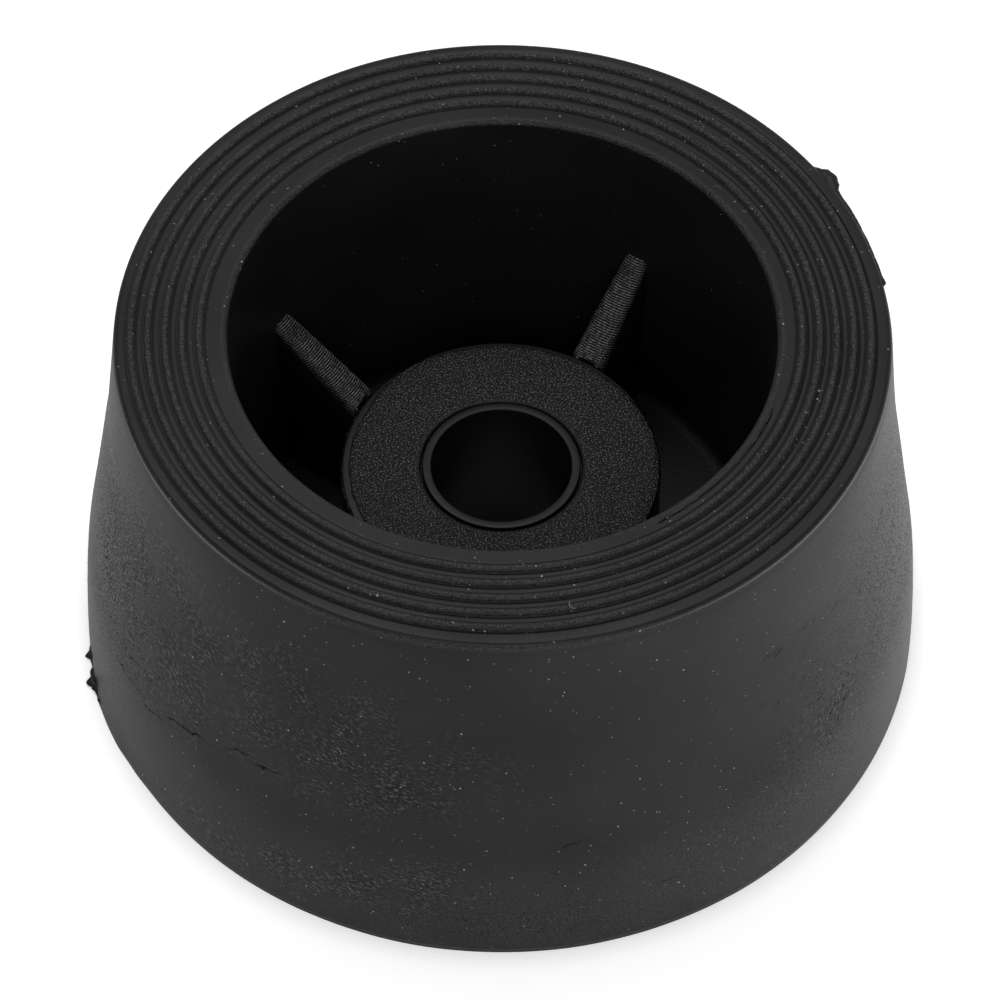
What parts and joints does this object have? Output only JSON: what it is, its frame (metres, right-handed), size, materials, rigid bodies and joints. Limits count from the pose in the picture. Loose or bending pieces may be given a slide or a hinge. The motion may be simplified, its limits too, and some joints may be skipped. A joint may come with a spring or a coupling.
{
  "type": "rubber foot",
  "caption": "Tapered round rubber foot with a beaded tread round a deep cup, and a ribbed central hub with a through bore for a screw.",
  "frame": {"origin": "centre of the wide flat base, on the plane that it rests on", "axes": "+Z along the bore, from the wide base towards the tread; the ribs lie on the diagonals between X and Y"},
  "size_m": [0.0514, 0.0514, 0.0267],
  "materials": {
    "rubber": "satin moulded black rubber"
  },
  "bodies": {
    "root": {"rubber_foot": "rubber"}
  },
  "joints": []
}
